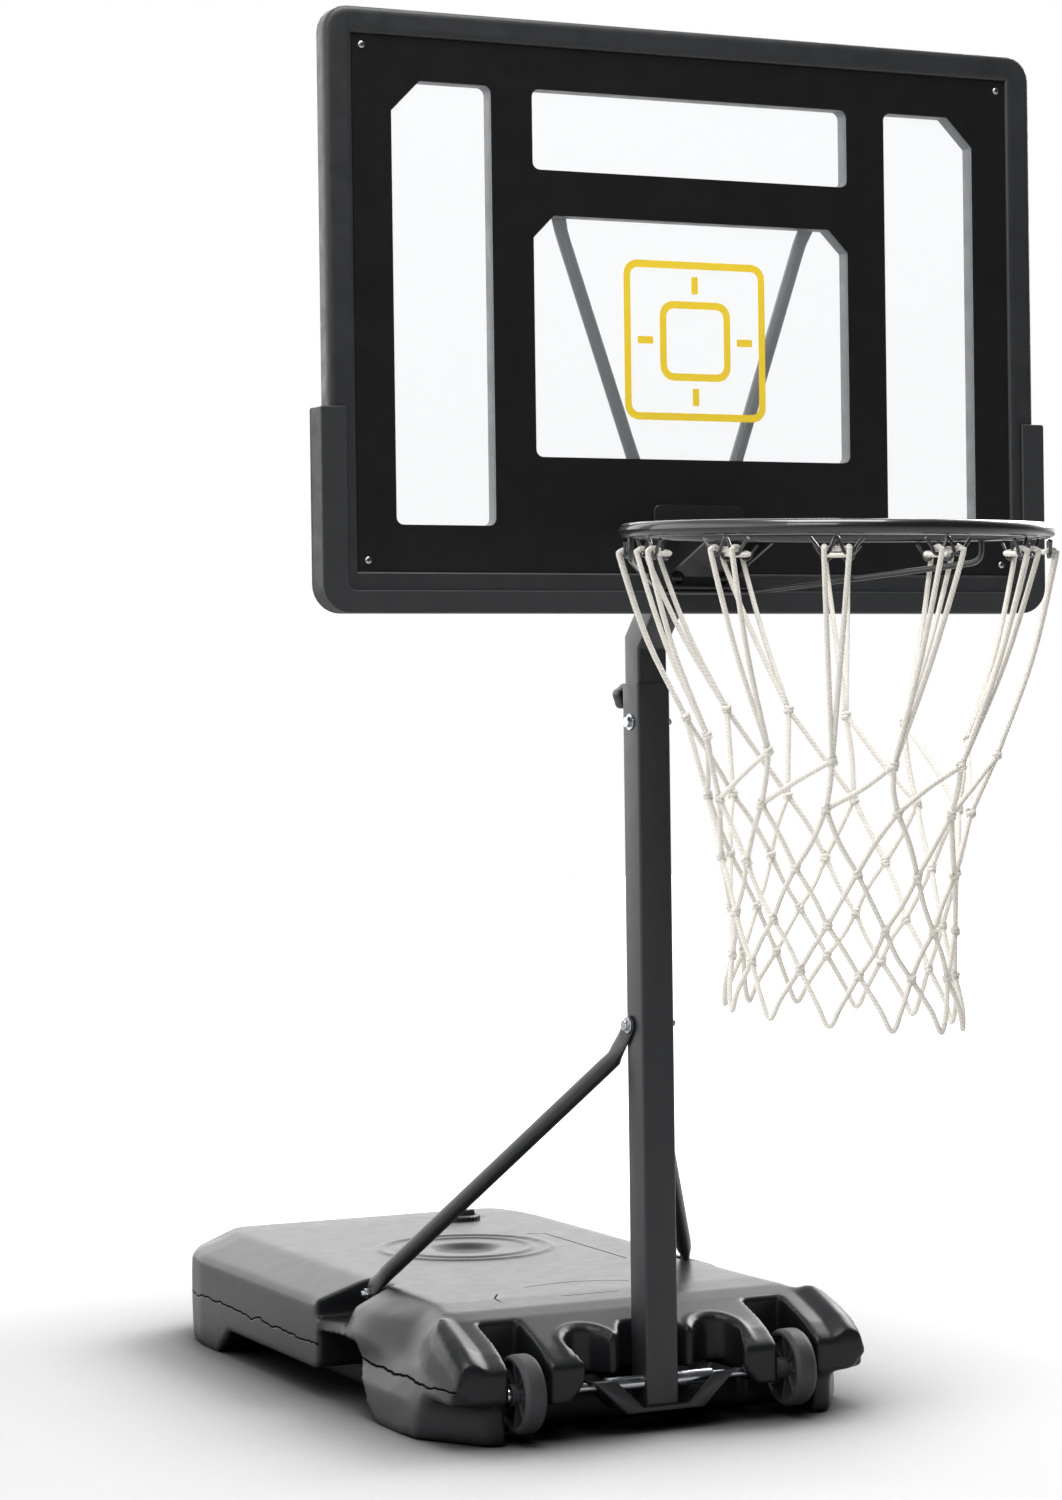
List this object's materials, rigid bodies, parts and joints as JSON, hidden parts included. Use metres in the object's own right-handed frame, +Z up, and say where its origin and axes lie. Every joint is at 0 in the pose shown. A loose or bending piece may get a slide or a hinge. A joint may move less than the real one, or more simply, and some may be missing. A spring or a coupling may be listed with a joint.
{
  "type": "poolside basketball hoop",
  "caption": "Portable poolside basketball hoop: wheeled water-filled base, strutted telescoping pole, framed clear board, hooked steel rim and cord net.",
  "frame": {"origin": "on the floor, under the centre of the part's bounding box, on its left-right mid plane", "axes": "+X to the right seen from the front, -Y to the front where the rim is, +Z up"},
  "size_m": [0.983, 1.725, 1.7136],
  "materials": {
    "tank": "satin moulded black",
    "cap": "satin moulded black",
    "wheel": "dull black, scuffed tread",
    "zinc": "bright zinc plate",
    "steel": "satin black powder coat",
    "knob": "satin black",
    "frame": "fine-grained moulded black",
    "pad": "satin black",
    "sheet": "clear sheet printed black round its windows",
    "rim": "gloss black",
    "net": "off-white braided cord"
  },
  "bodies": {
    "base_and_pole": {"base_tank": "tank", "fill_cap": "cap", "axle": "zinc", "axle_cap_left": "zinc", "axle_cap_right": "zinc", "axle_sleeve_left": "zinc", "axle_sleeve_right": "zinc", "pole_bolt": "zinc", "pole_nut": "zinc", "strut_top_bolt": "zinc", "strut_top_nut": "zinc", "strut_stud_left": "zinc", "strut_stud_right": "zinc", "strut_nut_left": "zinc", "strut_nut_right": "zinc", "pole_foot_bracket": "steel", "lower_pole": "steel", "knob_boss": "steel", "strut_left": "steel", "strut_right": "steel"},
    "board_and_rim": {"upper_pole": "steel", "board_frame": "frame", "board_sheet": "sheet", "lower_pad": "pad", "board_bracket": "steel", "v_arm_left": "steel", "v_arm_right": "steel", "arm_screw_left": "zinc", "arm_screw_right": "zinc", "sheet_screw_lower_left": "zinc", "sheet_screw_lower_right": "zinc", "sheet_screw_upper_left": "zinc", "sheet_screw_upper_right": "zinc", "rim_nut_lower_left": "zinc", "rim_nut_lower_right": "zinc", "rim_nut_upper_left": "zinc", "rim_nut_upper_right": "zinc", "rim_bracket": "rim", "rim_ring": "rim", "rim_brace": "rim", "rim_bolt_lower_left": "rim", "rim_bolt_lower_right": "rim", "rim_bolt_upper_left": "rim", "rim_bolt_upper_right": "rim", "net_hook_01": "rim", "net_hook_02": "rim", "net_hook_03": "rim", "net_hook_04": "rim", "net_hook_05": "rim", "net_hook_06": "rim", "net_hook_07": "rim", "net_hook_08": "rim", "net_hook_09": "rim", "net_hook_10": "rim", "net_hook_11": "rim", "net_hook_12": "rim", "net": "net"},
    "left_wheel": {"wheel_left": "wheel"},
    "right_wheel": {"wheel_right": "wheel"},
    "height_knob": {"star_knob": "knob"}
  },
  "joints": [
    {"name": "height_slide", "type": "slide", "parent": "base_and_pole", "child": "board_and_rim", "axis": [0, 0, 1], "range_m": [-0.03, 0.2]},
    {"name": "wheel_left_spin", "type": "hinge", "parent": "base_and_pole", "child": "left_wheel", "pos_m": [-0.1878, -0.14572, 0.06], "axis": [1, 0, 0], "continuous": true},
    {"name": "wheel_right_spin", "type": "hinge", "parent": "base_and_pole", "child": "right_wheel", "pos_m": [0.1878, -0.14572, 0.06], "axis": [1, 0, 0], "continuous": true},
    {"name": "knob_turn", "type": "hinge", "parent": "base_and_pole", "child": "height_knob", "pos_m": [0, -0.08752, 0.913], "axis": [0, 1, 0], "range_deg": [0, 360]}
  ]
}
